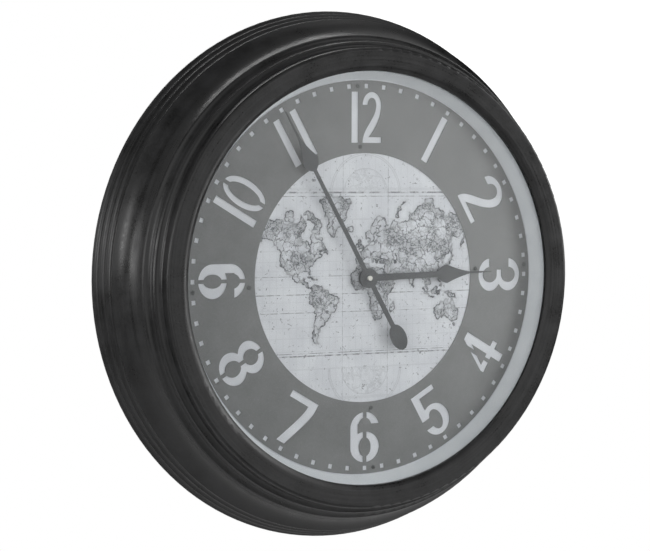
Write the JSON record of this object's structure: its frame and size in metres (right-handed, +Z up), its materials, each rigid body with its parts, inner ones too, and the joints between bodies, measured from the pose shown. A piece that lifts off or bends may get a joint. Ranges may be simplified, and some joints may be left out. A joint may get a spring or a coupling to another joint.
{
  "type": "wall clock",
  "caption": "Round wall clock with a deep stepped and reeded frame, a stencil numeral ring over a printed map disc, spade hands and a quartz movement behind the dial.",
  "frame": {"origin": "centre of the frame's back rim, on the wall plane and on the axis of the hands", "axes": "+X right seen from the front, +Y into the wall, +Z up towards 12 o'clock; the dial faces -Y"},
  "size_m": [0.6, 0.0967, 0.6],
  "materials": {
    "frame_plastic": "satin charcoal moulding",
    "gasket_rubber": "matt",
    "clear_glass": "clear, polished",
    "pale_plastic": "satin pale grey",
    "fibreboard": "raw fibreboard",
    "printed_paper": "matt print",
    "grey_sheet": "satin grey paint",
    "dark_screws": "dark satin",
    "zinc_screws": "zinc plated",
    "nut_brass": "pale polished brass",
    "hand_metal": "dark grey paint",
    "housing_plastic": "fine spark texture",
    "gear_plastic": "natural white",
    "motor_steel": "plain",
    "copper_wire": "enamelled copper",
    "circuit_laminate": "green laminate",
    "cell_jacket": "plain wrapped cell",
    "knob_plastic": "satin",
    "zinc_strap": "zinc plated strip"
  },
  "bodies": {
    "case": {"case_frame": "frame_plastic", "glass_gasket": "gasket_rubber", "front_glass": "clear_glass", "reflector_ring": "pale_plastic", "dial_board": "fibreboard", "map_sheet": "printed_paper", "chapter_ring": "grey_sheet", "ring_screws": "dark_screws", "board_screws": "zinc_screws", "rubber_washer": "gasket_rubber", "dial_washer": "zinc_screws", "bush_nut": "nut_brass", "movement_base": "housing_plastic", "movement_cover": "housing_plastic", "train_plate": "housing_plastic", "stator": "motor_steel", "coil_bobbin": "gear_plastic", "coil_winding": "copper_wire", "circuit_board": "circuit_laminate", "quartz_crystal": "motor_steel", "battery": "cell_jacket", "battery_contacts": "motor_steel", "hanger_plate": "zinc_strap", "hanger_screws": "zinc_screws"},
    "minute": {"centre_wheel": "gear_plastic", "minute_hand": "hand_metal", "hand_nut": "nut_brass"},
    "hour": {"hour_wheel": "gear_plastic", "hour_hand": "hand_metal"},
    "minute_work": {"minute_wheel": "gear_plastic", "setting_knob": "knob_plastic"},
    "third": {"third_wheel": "gear_plastic"},
    "seconds": {"seconds_wheel": "gear_plastic"},
    "step": {"step_wheel": "gear_plastic"},
    "rotor": {"rotor": "motor_steel"}
  },
  "joints": [
    {"name": "minute_turn", "type": "hinge", "parent": "case", "child": "minute", "pos_m": [0, 0, 0], "axis": [0, 1, 0], "continuous": true},
    {"name": "hour_turn", "type": "hinge", "parent": "case", "child": "hour", "pos_m": [0, 0, 0], "axis": [0, 1, 0], "continuous": true},
    {"name": "minute_work_turn", "type": "hinge", "parent": "case", "child": "minute_work", "pos_m": [-0.01418, 0, 0.0025], "axis": [0, 1, 0], "continuous": true},
    {"name": "third_turn", "type": "hinge", "parent": "case", "child": "third", "pos_m": [0.01339, 0, 0.00236], "axis": [0, 1, 0], "continuous": true},
    {"name": "seconds_turn", "type": "hinge", "parent": "case", "child": "seconds", "pos_m": [0, 0, 0], "axis": [0, 1, 0], "continuous": true},
    {"name": "step_turn", "type": "hinge", "parent": "case", "child": "step", "pos_m": [0.0054, 0, -0.00935], "axis": [0, 1, 0], "continuous": true},
    {"name": "rotor_turn", "type": "hinge", "parent": "case", "child": "rotor", "pos_m": [0.01574, 0, -0.01118], "axis": [0, 1, 0], "continuous": true}
  ],
  "couplings": [
    {"joint": "hour_turn", "follows": "minute_turn", "ratio": 0.083333},
    {"joint": "minute_work_turn", "follows": "minute_turn", "ratio": -0.33333},
    {"joint": "third_turn", "follows": "minute_turn", "ratio": -7.5},
    {"joint": "seconds_turn", "follows": "minute_turn", "ratio": 60},
    {"joint": "step_turn", "follows": "minute_turn", "ratio": -300},
    {"joint": "rotor_turn", "follows": "minute_turn", "ratio": 1800}
  ]
}
